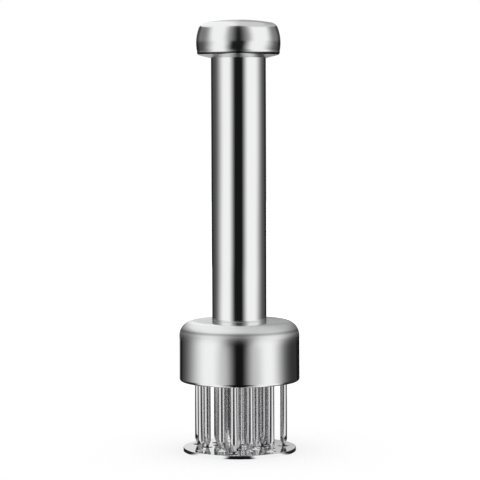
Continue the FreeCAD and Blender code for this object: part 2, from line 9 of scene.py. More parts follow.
import bpy
import numpy as np
from mathutils.geometry import delaunay_2d_cdt
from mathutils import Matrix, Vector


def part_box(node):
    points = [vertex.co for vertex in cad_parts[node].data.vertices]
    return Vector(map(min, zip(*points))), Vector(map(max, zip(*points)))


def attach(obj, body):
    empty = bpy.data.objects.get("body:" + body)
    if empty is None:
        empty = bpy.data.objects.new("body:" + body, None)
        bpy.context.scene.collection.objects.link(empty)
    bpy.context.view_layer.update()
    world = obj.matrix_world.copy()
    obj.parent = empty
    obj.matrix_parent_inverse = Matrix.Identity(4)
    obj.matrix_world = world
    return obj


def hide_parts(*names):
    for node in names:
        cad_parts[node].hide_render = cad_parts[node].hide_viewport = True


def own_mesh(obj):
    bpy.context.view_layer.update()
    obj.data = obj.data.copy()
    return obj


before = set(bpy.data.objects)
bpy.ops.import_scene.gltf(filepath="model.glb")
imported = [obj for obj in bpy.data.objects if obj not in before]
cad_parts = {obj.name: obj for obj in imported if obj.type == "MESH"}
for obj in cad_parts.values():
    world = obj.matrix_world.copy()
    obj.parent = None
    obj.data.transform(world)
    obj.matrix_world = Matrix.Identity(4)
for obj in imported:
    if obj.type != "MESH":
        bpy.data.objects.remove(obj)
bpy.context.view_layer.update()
MM = 0.001

# ------------------------------------------------------------------------------------------------ camera
# A long lens, with the eye a little above the middle of the handle. The head and the guard plate are seen
# from above, and the knob from just below.

EYE_DISTANCE = 900 * MM
EYE_HEIGHT = 151 * MM
EYE_SIDE = 0.65 * MM
EYE_TILT = math.radians(3.352)
EYE_LEAN = math.radians(0.2)
FOCAL_LENGTH = 145.6
FRAME_WIDTH = 36
NEAREST_SEEN = 0.05
FARTHEST_SEEN = 20

lens = bpy.data.cameras.new("camera")
lens.lens = FOCAL_LENGTH
lens.sensor_width = FRAME_WIDTH
lens.clip_start = NEAREST_SEEN
lens.clip_end = FARTHEST_SEEN
camera = bpy.data.objects.new("camera", lens)
camera.location = (EYE_SIDE, -EYE_DISTANCE, EYE_HEIGHT)
camera.rotation_euler = (math.pi / 2 - EYE_TILT, EYE_LEAN, 0)
bpy.context.scene.collection.objects.link(camera)
bpy.context.scene.camera = camera

# ------------------------------------------------------------------------------------ daylight and lamp
# White surroundings, with one wide soft lamp overhead that gives the floor its soft shadow. Mirrors don't see
# the lamp, because the tent below is what they show.

SURROUNDINGS = 0.62  # brightness that lights the tool
BACKDROP = 1.0  # brightness that the eye sees behind it
LAMP_WIDTH = 1.6
LAMP_HEIGHT = 1.8
LAMP_POWER = 12.0

bpy.context.scene.view_settings.view_transform = "Standard"


def maths(tree, operation, *values):
    """One sum in a material, of numbers or of other nodes' results."""
    node = tree.nodes.new("ShaderNodeMath")
    node.operation = operation
    for socket, value in zip(node.inputs, values):
        if isinstance(value, bpy.types.NodeSocket):
            tree.links.new(value, socket)
        else:
            socket.default_value = value
    return node.outputs[0]


def is_seen(tree):
    """A number that is 1 for the rays of the eye, of mirrors and of glass, and 0 for the rays that light."""
    path = tree.nodes.new("ShaderNodeLightPath")
    mirrored = maths(tree, "ADD", path.outputs["Is Glossy Ray"], path.outputs["Is Transmission Ray"])
    return maths(tree, "MINIMUM", maths(tree, "ADD", path.outputs["Is Camera Ray"], mirrored), 1.0)


def blend_shaders(tree, share, first, second):
    """A mix of two shaders: the share is how much of the second shows."""
    mix = tree.nodes.new("ShaderNodeMixShader")
    tree.links.new(share, mix.inputs[0])
    tree.links.new(first, mix.inputs[1])
    tree.links.new(second, mix.inputs[2])
    return mix.outputs[0]


def glow(tree, kind, strength):
    """White light of the given strength, from a background or a surface."""
    node = tree.nodes.new(kind)
    node.inputs["Color"].default_value = (1, 1, 1, 1)
    if isinstance(strength, bpy.types.NodeSocket):
        tree.links.new(strength, node.inputs["Strength"])
    else:
        node.inputs["Strength"].default_value = strength
    return node.outputs[0]


world = bpy.data.worlds.new("white_surroundings")
bpy.context.scene.world = world
world.use_nodes = True
tree = world.node_tree
tree.nodes.clear()
lighting = glow(tree, "ShaderNodeBackground", SURROUNDINGS)
backdrop = glow(tree, "ShaderNodeBackground", BACKDROP)
output = tree.nodes.new("ShaderNodeOutputWorld")
tree.links.new(blend_shaders(tree, is_seen(tree), lighting, backdrop), output.inputs["Surface"])

lamp_light = bpy.data.lights.new("overhead_lamp", "AREA")
lamp_light.size = LAMP_WIDTH
lamp_light.energy = LAMP_POWER
lamp = bpy.data.objects.new("overhead_lamp", lamp_light)
lamp.location = (0, 0, LAMP_HEIGHT)
lamp.visible_glossy = False
lamp.visible_camera = False
bpy.context.scene.collection.objects.link(lamp)

# ------------------------------------------------------------------------------------------- light tent
# A tent of white cloth round the tool, which only mirrors see. Its sides are white, its back corners fall off
# to dark, and the opening in front is a soft-edged dark stripe. Behind the tool and overhead the cloth is lit
# from the left.

TENT_RADIUS = 1.2
TENT_HEIGHT = 1.45
TENT_PEAK = 1.65
PEAK_OPENING = 0.02  # share of the tent's radius
TENT_STEPS = 96

# A soft step is where it starts and ends, then its values before and after. Angles are in degrees from
# straight in front, to the right positive.
STRIPE = (12, 43, 0.01, 1.0)  # tone of the opening, by the angle beside its middle
STRIPE_MIDDLE = (0.0, 0.25, -2.2, -0.2)  # where its middle is, by height
HIGH_STRIPE = ((0, 40, 0.005, 0.5), (24, 48, 0.0, 0.5))  # core and edge of the opening higher up
HIGH_STRIPE_MIDDLE = (0.5, 1.1, 1.3, 0.7)
HIGH_STRIPE_FROM = (0.225, 0.28)  # height where it takes over
CORNER_MIDDLE = (0.0, 0.15, 1.0, 5.3)  # angle between the two back corners' starts, by height
CORNER_START = 65.0  # angle beside it where the white starts to fall off, how slowly, and to what
CORNER_WIDTH = 29.0
CORNER_DARK = 0.07
CORNER_BACK = (131, 143, 1.0, 0.35)  # share of that tone which is left towards the back
HIGH_CORNER_MIDDLE = 5.0
HIGH_CORNER_START = (0.35, 1.0, 74.0, 82.0)
HIGH_CORNER_WIDTH = 21.0
HIGH_CORNER_DARK = 0.2
HIGH_CORNER_FROM = (0.22, 0.3)
LIT_FROM_LEFT = (-50, -5, 1.0, 0.67)  # tone of the lit cloth, by angle
COUNT_ON_FROM = -90.0  # angles further left than this get a whole turn more, so that the back is one run
WHOLE_TURN = 360.0
RIGHT_BACK = ((80, 165), (181, 186, 1.0, 0.0))  # where the greyer right back begins and ends
RIGHT_BACK_FROM = (0.2, 0.28)  # height where it begins
RIGHT_BACK_SHADE = -0.42
LEFT_BACK = (178, 184)
LEFT_BACK_SHADE = (0.26, 0.36, -0.24, 0.0)  # what it takes away, by height
LIT_EDGE = 1.42  # height of the lit cloth's lower edge, and its fall for each degree from the front
LIT_EDGE_FALL = 0.0057
LIT_EDGE_SOFTNESS = 0.03
BACK_STRIP = (164, 174)  # angle to either side where the lit cloth comes down behind the tool
BACK_EDGE = (-20, 20, -0.04, 0.18)  # height of its lower edge there, from the left to the right
BACK_EDGE_SOFTNESS = 0.04
CEILING = (-0.3, 0.1, 1.0, 0.66)  # tone of the cloth overhead, by the distance to the right


def make_piece(name, points, faces):
    """A smooth mesh object from a table of points and lists of the points round each face."""
    mesh = bpy.data.meshes.new(name)
    mesh.from_pydata(points.tolist(), [], faces)
    mesh.polygons.foreach_set("use_smooth", np.ones(len(mesh.polygons), dtype=bool))
    mesh.update()
    piece = bpy.data.objects.new(name, mesh)
    bpy.context.scene.collection.objects.link(piece)
    return piece


def grid_faces(first, rows, columns, closed_rows, closed_columns):
    """Four-sided faces of a grid whose points are numbered row by row from first."""
    row = np.arange(rows if closed_rows else rows - 1)[:, None]
    column = np.arange(columns if closed_columns else columns - 1)[None, :]
    next_row = (row + 1) % rows
    next_column = (column + 1) % columns
    corners = (
        row * columns + column,
        next_row * columns + column,
        next_row * columns + next_column,
        row * columns + next_column,
    )
    return first + np.stack(np.broadcast_arrays(*corners), axis=-1).reshape(-1, 4)


def spun(outline, steps, centre=(0.0, 0.0)):
    """Points of an outline turned round a vertical axis.

    Each step's points are radius x cosine, radius x sine and height.
    """
    turn = np.arange(steps) * 2 * math.pi / steps
    radius, height = outline.T
    across = centre[0] + radius * np.cos(turn)[:, None]
    back = centre[1] + radius * np.sin(turn)[:, None]
    return np.stack(np.broadcast_arrays(across, back, height), axis=-1).reshape(-1, 3)


def new_tree(name):
    """An empty material and its node tree."""
    material = bpy.data.materials.new(name)
    material.use_nodes = True
    material.node_tree.nodes.clear()
    return material, material.node_tree


def set_surface(tree, shader):
    """Make a shader the surface of its material."""
    output = tree.nodes.new("ShaderNodeOutputMaterial")
    tree.links.new(shader, output.inputs["Surface"])


def times(tree, first, second):
    """One number times another."""
    return maths(tree, "MULTIPLY", first, second)


def axis_socket(tree, axis):
    """One of the object's own coordinates, in metres."""
    place = tree.nodes.new("ShaderNodeTexCoord")
    split = tree.nodes.new("ShaderNodeSeparateXYZ")
    tree.links.new(place.outputs["Object"], split.inputs[0])
    return split.outputs[axis]


def angle_from_front(tree):
    """The angle round the tool from straight in front, in degrees, to the right positive."""
    front = times(tree, axis_socket(tree, "Y"), -1.0)
    return times(tree, maths(tree, "ARCTAN2", axis_socket(tree, "X"), front), math.degrees(1))


def beside(tree, angle, middle):
    """How far an angle is from a middle, to either side."""
    return maths(tree, "ABSOLUTE", maths(tree, "SUBTRACT", angle, middle))


def ease(tree, value, start, end, low=0.0, high=1.0):
    """A soft step from low to high as the value goes from start to end, with both its bends rounded."""
    step = tree.nodes.new("ShaderNodeMapRange")
    step.interpolation_type = "SMOOTHSTEP"
    tree.links.new(value, step.inputs["Value"])
    for name, limit in zip(("From Min", "From Max", "To Min", "To Max"), (start, end, low, high)):
        step.inputs[name].default_value = limit
    return step.outputs["Result"]


def two_steps(tree, value, core, edge):
    """The sum of two soft steps, for an edge that is steep inside and drawn out outside."""
    return maths(tree, "ADD", ease(tree, value, *core), ease(tree, value, *edge))


def mixed(tree, share, first, second):
    """A number between two others: the share is how much of the second shows."""
    mix = tree.nodes.new("ShaderNodeMix")
    for socket, value in zip((mix.inputs[0], mix.inputs[2], mix.inputs[3]), (share, first, second)):
        tree.links.new(value, socket)
    return mix.outputs[0]


def falling_corners(tree, angle, middle, start, width, dark):
    """The white sides' fall to dark: e to the minus square of the angle beyond the start, over the width."""
    over = maths(tree, "MAXIMUM", maths(tree, "SUBTRACT", beside(tree, angle, middle), start), 0.0)
    over = maths(tree, "DIVIDE", over, width)
    fall = maths(tree, "EXPONENT", times(tree, times(tree, over, over), -1.0))
    tone = maths(tree, "ADD", times(tree, fall, 1 - dark), dark)
    return times(tree, tone, ease(tree, maths(tree, "ABSOLUTE", angle), *CORNER_BACK))


def lit_cloth(tree, angle, height):
    """The lit part of the cloth: white at the left, greyer to the right, and greyest at the right back."""
    counted_on = times(tree, maths(tree, "LESS_THAN", angle, COUNT_ON_FROM), WHOLE_TURN)
    onward = maths(tree, "ADD", angle, counted_on)
    begins, ends = (ease(tree, onward, *step) for step in RIGHT_BACK)
    right_back = times(tree, times(tree, begins, ends), ease(tree, height, *RIGHT_BACK_FROM))
    right_shade = times(tree, right_back, RIGHT_BACK_SHADE)
    left_shade = times(tree, ease(tree, onward, *LEFT_BACK), ease(tree, height, *LEFT_BACK_SHADE))
    shade = maths(tree, "ADD", maths(tree, "ADD", right_shade, left_shade), 1.0)
    return times(tree, ease(tree, angle, *LIT_FROM_LEFT), shade)


def unlit_cloth(tree, angle, height):
    """The rest of the wall: the opening's dark stripe times the fall towards the back corners."""
    stripe = ease(tree, beside(tree, angle, ease(tree, height, *STRIPE_MIDDLE)), *STRIPE)
    high_middle = ease(tree, height, *HIGH_STRIPE_MIDDLE)
    high_stripe = two_steps(tree, beside(tree, angle, high_middle), *HIGH_STRIPE)
    stripe = mixed(tree, ease(tree, height, *HIGH_STRIPE_FROM), stripe, high_stripe)
    middle = ease(tree, height, *CORNER_MIDDLE)
    corners = falling_corners(tree, angle, middle, CORNER_START, CORNER_WIDTH, CORNER_DARK)
    start = ease(tree, height, *HIGH_CORNER_START)
    high_corners = falling_corners(
        tree, angle, HIGH_CORNER_MIDDLE, start, HIGH_CORNER_WIDTH, HIGH_CORNER_DARK
    )
    corners = mixed(tree, ease(tree, height, *HIGH_CORNER_FROM), corners, high_corners)
    return times(tree, stripe, corners)


def tent_cloth():
    """Cloth that glows by the angle round the tool on its wall, and from left to right on its ceiling."""
    material, tree = new_tree("tent_cloth")
    angle, height = angle_from_front(tree), axis_socket(tree, "Z")
    aside = maths(tree, "ABSOLUTE", angle)
    front_edge = maths(tree, "SUBTRACT", LIT_EDGE, times(tree, aside, LIT_EDGE_FALL))
    edge = mixed(tree, ease(tree, aside, *BACK_STRIP), front_edge, ease(tree, angle, *BACK_EDGE))
    softness = ease(tree, aside, *BACK_STRIP, LIT_EDGE_SOFTNESS, BACK_EDGE_SOFTNESS)
    above = ease(tree, maths(tree, "DIVIDE", maths(tree, "SUBTRACT", height, edge), softness), -1.0, 1.0)
    wall = mixed(tree, above, unlit_cloth(tree, angle, height), lit_cloth(tree, angle, height))
    ceiling = ease(tree, axis_socket(tree, "X"), *CEILING)
    on_ceiling = maths(tree, "GREATER_THAN", height, TENT_HEIGHT)
    set_surface(tree, glow(tree, "ShaderNodeEmission", mixed(tree, on_ceiling, wall, ceiling)))
    return material


tent_outline = np.array(
    [(TENT_RADIUS, 0), (TENT_RADIUS, TENT_HEIGHT), (TENT_RADIUS * PEAK_OPENING, TENT_PEAK)]
)
tent_faces = grid_faces(0, TENT_STEPS, len(tent_outline), True, False)
tent = make_piece("light_tent", spun(tent_outline, TENT_STEPS), tent_faces.tolist())
tent.data.materials.append(tent_cloth())
tent.visible_camera = False
tent.visible_diffuse = False
tent.visible_shadow = False
tent.visible_transmission = False

# ------------------------------------------------------------------------------------------------ floor
# A white table with a soft shadow under the tool. In the steel it carries on the tent's tones, ring by ring
# round the tool: the opening's dark stripe comes down across it to the foot, and its back corners are dark.

FLOOR_HALF = 3.0
FLOOR_COLOUR = (0.8, 0.8, 0.8, 1)
FLOOR_LIT = (0.4, 0.4, 0.4, 1)  # what the lamp and the daylight add to the floor that the eye sees
FLOOR_GLOW = (0.1, 0.5, 0.648, 1.0)  # what it glows with besides, by the distance from the tool
FOOT_STRIPE = (11, 20, 0.01, 1.0)
FOOT_CORNER = (52, 66, 1.0, 0.02)
NEEDLES_FROM = (0.035, 0.05)  # distance from the tool where the ring that the needles show begins
NEEDLES_STRIPE = (14, 40, 0.004, 1.0)
NEEDLES_CORNER = (66, 92, 1.0, 0.03)
NEAR_FROM = (0.17, 0.26)
NEAR_STRIPE = ((4.2, 30.0, 0.007, 0.6), (27, 53, 0.0, 0.4))
NEAR_STRIPE_MIDDLE = -0.2
NEAR_CORNER_MIDDLE = -2.0
NEAR_CORNER_START = 60.0
NEAR_CORNER_WIDTH = (-30, 30, 37.0, 26.0)  # the white falls off more slowly on the left
NEAR_CORNER_DARK = 0.035
FAR_FROM = (0.45, 0.6)
FAR_STRIPE_MIDDLE = -3.5
FAR_CORNER_MIDDLE = -5.8
FAR_CORNER_DRIFT = 6.5  # degrees for each metre from the tool
LEFT_BEHIND = (150, 166, 0.0, 0.6)  # light on the floor behind the tool
RIGHT_BEHIND = (166, 173, 0.0, 0.6)


def distance_from_axis(tree):
    """The distance from the tool's axis, in metres."""
    right, back = axis_socket(tree, "X"), axis_socket(tree, "Y")
    return maths(tree, "SQRT", maths(tree, "ADD", times(tree, right, right), times(tree, back, back)))


def near_floor(tree, angle):
    """The ring that the bell and the knob show."""
    stripe = two_steps(tree, beside(tree, angle, NEAR_STRIPE_MIDDLE), *NEAR_STRIPE)
    width = ease(tree, angle, *NEAR_CORNER_WIDTH)
    corners = falling_corners(
        tree, angle, NEAR_CORNER_MIDDLE, NEAR_CORNER_START, width, NEAR_CORNER_DARK
    )
    return times(tree, stripe, corners)


def far_floor(tree, angle, distance):
    """The ring that the handle shows, which joins on to the tent's wall."""
    middle = maths(tree, "ADD", times(tree, distance, FAR_CORNER_DRIFT), FAR_CORNER_MIDDLE)
    corners = falling_corners(tree, angle, middle, CORNER_START, CORNER_WIDTH, CORNER_DARK)
    return times(tree, ease(tree, beside(tree, angle, FAR_STRIPE_MIDDLE), *STRIPE), corners)


def floor_in_mirrors(tree):
    """The floor as the steel shows it: four rings one after the other, and some light behind the tool."""
    angle, distance = angle_from_front(tree), distance_from_axis(tree)
    aside = maths(tree, "ABSOLUTE", angle)
    foot = times(tree, ease(tree, aside, *FOOT_STRIPE), ease(tree, aside, *FOOT_CORNER))
    needles = times(tree, ease(tree, aside, *NEEDLES_STRIPE), ease(tree, aside, *NEEDLES_CORNER))
    tone = mixed(tree, ease(tree, distance, *NEEDLES_FROM), foot, needles)
    tone = mixed(tree, ease(tree, distance, *NEAR_FROM), tone, near_floor(tree, angle))
    tone = mixed(tree, ease(tree, distance, *FAR_FROM), tone, far_floor(tree, angle, distance))
    left = ease(tree, times(tree, angle, -1.0), *LEFT_BEHIND)
    behind = maths(tree, "ADD", left, ease(tree, angle, *RIGHT_BEHIND))
    return glow(tree, "ShaderNodeEmission", maths(tree, "ADD", tone, behind))


def floor_white():
    """White paint for the light, white with the tool's soft shadow for the eye, and tones for mirrors."""
    material, tree = new_tree("floor_white")
    paint = tree.nodes.new("ShaderNodeBsdfDiffuse")
    paint.inputs["Color"].default_value = FLOOR_COLOUR
    lit = tree.nodes.new("ShaderNodeBsdfDiffuse")
    lit.inputs["Color"].default_value = FLOOR_LIT
    added = glow(tree, "ShaderNodeEmission", ease(tree, distance_from_axis(tree), *FLOOR_GLOW))
    both = tree.nodes.new("ShaderNodeAddShader")
    tree.links.new(lit.outputs[0], both.inputs[0])
    tree.links.new(added, both.inputs[1])
    path = tree.nodes.new("ShaderNodeLightPath")
    seen = blend_shaders(tree, path.outputs["Is Camera Ray"], paint.outputs[0], both.outputs[0])
    set_surface(tree, blend_shaders(tree, path.outputs["Is Glossy Ray"], seen, floor_in_mirrors(tree)))
    return material


floor_corners = np.array([(-1, -1, 0), (1, -1, 0), (1, 1, 0), (-1, 1, 0)]) * FLOOR_HALF
floor = make_piece("floor", floor_corners, [(0, 1, 2, 3)])
floor.data.materials.append(floor_white())

# ------------------------------------------------------------------------------------------- handle tube
# A length of stainless tube, cut square and buffed to a mirror: the mop leaves hair lines round it, and
# handling leaves cloudy patches where the shine is a little softer. Its foot stands on the bell, held by the
# ferrule inside, and its top is under the knob.

TUBE_WALL = 1.5 * MM
EDGE_BREAK = 0.15 * MM
AROUND_STEPS = 192
STRAIGHT_TURN = 1e-4  # a corner that turns less than this stays as it is
ROUND_STEP = 15  # degrees between the points of a round of 1 mm, and less on a larger one
ROUND_LEAST = 6
HOLD_SHARE = 0.4  # how far past a round its added point stands: this share of the round, up to the most
HOLD_MOST = 0.3 * MM
STEEL_COLOUR = (0.865, 0.867, 0.872, 1)
BRIGHT_GLOSS = (0.04, 0.07)  # roughness of the clearest and of the softest patches
ROUND_LINES = ((0.03, 0.03, 1), 4000.0, 0.0005 * MM)  # the mop's hair lines: stretch, scale and depth
LINE_DETAIL = 4.0
PATCH_SCALE = 90.0
PATCH_DETAIL = 3.0
EVEN = (1, 1, 1)  # no stretch
CLOUD_LOW = 0.3  # cloudy noise mostly lies between these
CLOUD_HIGH = 0.7


def arc(centre, radius, start, end, count):
    """Points of an arc in an outline: centre plus radius x cosine and sine, in even steps."""
    angle = np.linspace(start, end, count)
    return np.stack([centre[0] + radius * np.cos(angle), centre[1] + radius * np.sin(angle)], axis=-1)


def rounded(corners, closed=True):
    """An outline of (radius, height, round) corners, each round an arc tangent to its corner's two sides.

    The arc starts at round x tan(half the turn) before the corner. A point is added on each straight side just
    past an arc's end, so that smooth shading doesn't spread from the round into the flat.
    """
    parts = []
    count = len(corners)
    for index, (radius, height, size) in enumerate(corners):
        here = np.array([radius, height])
        if not closed and index in (0, count - 1):
            parts.append(here[None])
            continue
        before = np.array(corners[index - 1][:2]) - here
        after = np.array(corners[(index + 1) % count][:2]) - here
        before /= np.linalg.norm(before)
        after /= np.linalg.norm(after)
        turn = math.pi - math.acos(np.clip(before @ after, -1, 1))
        if size == 0 or turn < STRAIGHT_TURN:
            parts.append(here[None])
            continue
        reach = size * math.tan(turn / 2)
        middle = before + after
        middle /= np.linalg.norm(middle)
        centre = here + middle * size / math.cos(turn / 2)
        spokes = [here + side * reach - centre for side in (before, after)]
        start = math.atan2(spokes[0][1], spokes[0][0])
        sweep = math.atan2(
            spokes[0][0] * spokes[1][1] - spokes[0][1] * spokes[1][0],
            spokes[0] @ spokes[1],
        )
        steps = max(ROUND_LEAST, round(math.degrees(turn) / ROUND_STEP * math.sqrt(size / MM)) + 2)
        hold = min(size * HOLD_SHARE, HOLD_MOST)
        parts.append((here + before * (reach + hold))[None])
        parts.append(arc(centre, size, start, start + sweep, steps))
        parts.append((here + after * (reach + hold))[None])
    return np.concatenate(parts)


def turned(outline, steps=AROUND_STEPS):
    """Points and faces of an outline turned round a vertical axis: radius x cosine, radius x sine and height.

    The outline goes anticlockwise with the radius to the right. It closes on itself, or runs from the axis
    to the axis, where each end becomes one point with a fan of triangles.
    """
    from_axis = outline[0, 0] == 0
    inner = outline[1:-1] if from_axis else outline
    points = spun(inner, steps)
    faces = grid_faces(0, steps, len(inner), True, not from_axis).tolist()
    if from_axis:
        ends = np.array([[0, 0, outline[0, 1]], [0, 0, outline[-1, 1]]])
        low, high = len(points), len(points) + 1
        points = np.concatenate([points, ends])
        ring = np.arange(steps) * len(inner)
        following = np.roll(ring, -1)
        last = len(inner) - 1
        faces += np.stack([np.full(steps, low), following, ring], axis=-1).tolist()
        faces += np.stack([ring + last, following + last, np.full(steps, high)], axis=-1).tolist()
    return points, faces


def noise(tree, scale, detail, stretch):
    """Cloudy noise on the object's own coordinates, stretched along its axes, around 0.5."""
    place = tree.nodes.new("ShaderNodeTexCoord")
    turn = tree.nodes.new("ShaderNodeMapping")
    turn.inputs["Scale"].default_value = stretch
    tree.links.new(place.outputs["Object"], turn.inputs["Vector"])
    cloud = tree.nodes.new("ShaderNodeTexNoise")
    cloud.inputs["Scale"].default_value = scale
    cloud.inputs["Detail"].default_value = detail
    tree.links.new(turn.outputs["Vector"], cloud.inputs["Vector"])
    return cloud.outputs[0]


def between(tree, cloud, low, high):
    """Spread cloudy noise over a range."""
    spread = tree.nodes.new("ShaderNodeMapRange")
    tree.links.new(cloud, spread.inputs["Value"])
    spread.inputs["From Min"].default_value = CLOUD_LOW
    spread.inputs["From Max"].default_value = CLOUD_HIGH
    spread.inputs["To Min"].default_value = low
    spread.inputs["To Max"].default_value = high
    return spread.outputs["Result"]


def steel(name, gloss, lines, colour=STEEL_COLOUR):
    """Steel with hair lines and cloudy patches: material, tree, shader and roughness, for a piece to change.

    The roughness runs between the two values of gloss with the patches. The lines are a fine bump whose noise
    is squeezed along one axis by their stretch.
    """
    material, tree = new_tree(name)
    shader = tree.nodes.new("ShaderNodeBsdfPrincipled")
    shader.inputs["Base Color"].default_value = colour
    shader.inputs["Metallic"].default_value = 1.0
    roughness = between(tree, noise(tree, PATCH_SCALE, PATCH_DETAIL, EVEN), *gloss)
    tree.links.new(roughness, shader.inputs["Roughness"])
    stretch, scale, depth = lines
    bump = tree.nodes.new("ShaderNodeBump")
    bump.inputs["Strength"].default_value = 1.0
    bump.inputs["Distance"].default_value = depth
    tree.links.new(noise(tree, scale, LINE_DETAIL, stretch), bump.inputs["Height"])
    tree.links.new(bump.outputs["Normal"], shader.inputs["Normal"])
    set_surface(tree, shader.outputs[0])
    return material, tree, shader, roughness


def dress(piece, material):
    """Give a piece one material in place of what it has."""
    piece.data.materials.clear()
    piece.data.materials.append(material)


tube_low, tube_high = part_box("handle_tube")
tube_radius = tube_high.x
tube_bore = tube_radius - TUBE_WALL
tube_outline = rounded(
    [
        (tube_bore, tube_low.z, EDGE_BREAK),
        (tube_radius, tube_low.z, EDGE_BREAK),
        (tube_radius, tube_high.z, EDGE_BREAK),
        (tube_bore, tube_high.z, EDGE_BREAK),
    ]
)
handle_tube = make_piece("handle_grip_tube", *turned(tube_outline))
dress(handle_tube, steel("tube_steel", BRIGHT_GLOSS, ROUND_LINES)[0])
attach(handle_tube, "handle")
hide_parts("handle_tube")

# ------------------------------------------------------------------------------------------------- bell
# A cup spun from sheet steel, with a rounded shoulder, a slightly falling satin top that the tube stands on,
# and an open mouth that the needles come out of. The sleeve inside draws it up against the ferrule.

BELL_WALL = 1.4 * MM
BELL_SHOULDER = 7.0 * MM
BELL_FALL = 0.5 * MM
BELL_HOLE = 7.03 * MM
BELL_RIM_ROUND = 1.2 * MM
BELL_RIM_DROP = 0.7 * MM  # how far the mouth reaches below the node's
BELL_GLOSS = (0.07, 0.1)
BELL_SATIN = (-10.5 * MM, -5 * MM, 0.0, 0.33)  # what the top is rougher by, by height from the bell's top
BELL_SATIN_END = (-1.3 * MM, -0.6 * MM, 0.0, 0.18)  # what it loses again beside the tube
BELL_PAINTED_LINE = ((-4.3 * MM, -3.4 * MM), (-5.4 * MM, -4.5 * MM, 1.0, 0.0))  # above and below the painted dark reflection line on the shoulder
BELL_PAINTED_LINE_SHARE = 0.62  # how bright the painted reflection line is, of the steel's own colour


def paint_dark_band(tree, shader, level, above, below, colour):
    """Painted shade or reflection: a darker colour on a band of the steel, whose own comes back with a soft
    step above and one below.
    """
    mix = tree.nodes.new("ShaderNodeMix")
    mix.data_type = "RGBA"
    tree.links.new(two_steps(tree, level, above, below), mix.inputs[0])
    mix.inputs[6].default_value = colour
    mix.inputs[7].default_value = STEEL_COLOUR
    tree.links.new(mix.outputs[2], shader.inputs["Base Color"])


bell_low, bell_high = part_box("head_bell")
bell_radius = min(bell_high.x, -bell_low.x)
bell_bore = bell_radius - BELL_WALL
bell_rim = bell_low.z - BELL_RIM_DROP
bell_edge = bell_high.z - BELL_FALL
bell_slope = BELL_FALL / (bell_radius - tube_radius)
roof_at_bore = bell_edge - BELL_WALL + BELL_WALL * bell_slope
bell_outline = rounded(
    [
        (BELL_HOLE, bell_high.z - BELL_WALL, EDGE_BREAK),
        (tube_radius, bell_high.z - BELL_WALL, 0),
        (bell_bore, roof_at_bore, BELL_SHOULDER - BELL_WALL),
        (bell_bore, bell_rim, EDGE_BREAK),
        (bell_radius, bell_rim, BELL_RIM_ROUND),
        (bell_radius, bell_edge, BELL_SHOULDER),
        (tube_radius, bell_high.z, 0),
        (BELL_HOLE, bell_high.z, EDGE_BREAK),
    ]
)
bell = make_piece("bell_shell", *turned(bell_outline))
bell_steel, tree, shader, roughness = steel("bell_steel", BELL_GLOSS, ROUND_LINES)
level = maths(tree, "SUBTRACT", axis_socket(tree, "Z"), bell_high.z)
satin = maths(tree, "SUBTRACT", ease(tree, level, *BELL_SATIN), ease(tree, level, *BELL_SATIN_END))
tree.links.new(maths(tree, "ADD", roughness, satin), shader.inputs["Roughness"])
# Painted reflection: a dark ring in the shoulder's colour stands in for a dark line that the shoulder
# reflects.
painted_line_colour = [BELL_PAINTED_LINE_SHARE * part for part in STEEL_COLOUR[:3]] + [1]
paint_dark_band(tree, shader, level, *BELL_PAINTED_LINE, painted_line_colour)
dress(bell, bell_steel)
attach(bell, "handle")
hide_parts("head_bell")

# ------------------------------------------------------------------------------------------------- knob
# A solid knob turned from steel bar and polished: a seat on the tube, a rising underside with a rounded lip,
# a barrel side and a crowned top. It screws down on the stud of the plug in the tube.

KNOB_BELT = 6.9 * MM  # from the seat up to the widest level
KNOB_CROWN_RADIUS = 90 * MM
KNOB_ROUND = 3.6 * MM
KNOB_SEAT_MARGIN = 0.7 * MM
KNOB_LIP_INSET = 1.5 * MM
KNOB_LIP_RISE = 1.15 * MM
KNOB_LIP_HEIGHT = 2.9 * MM
KNOB_LIP_ROUND = 1.35 * MM
KNOB_SOCKET_RADIUS = 5.03 * MM
KNOB_SOCKET_DEPTH = 11.5 * MM
LIP_STEPS = 12
SIDE_STEPS = 20
SHOULDER_STEPS = 18
CROWN_STEPS = 16
KNOB_GLOSS = (0.12, 0.16)
LIP_PAINTED_SHADE = (0.1, 0.1, 0.105, 1)  # painted shade: a dark colour under the lip, where shade falls
LIP_SHADE_BAND = ((0.85 * MM, 1.2 * MM), (0.15 * MM, 0.3 * MM, 1.0, 0.0))  # above and below the painted shade band, from the lip's foot
LIP_UNPOLISHED = (0.0, 0.3 * MM, 0.25, 0.0)  # what the underside is rougher by


def arc_to(start, end, radius, count):
    """Points of the short arc between two points that bulges to the right of the way, without its ends."""
    along = end - start
    length = np.linalg.norm(along)
    outwards = np.array([along[1], -along[0]]) / length
    centre = (start + end) / 2 - outwards * math.sqrt(radius**2 - (length / 2) ** 2)
    first, last = start - centre, end - centre
    sweep = math.atan2(first[0] * last[1] - first[1] * last[0], first @ last)
    begin = math.atan2(first[1], first[0])
    return arc(centre, radius, begin, begin + sweep, count)[1:-1]


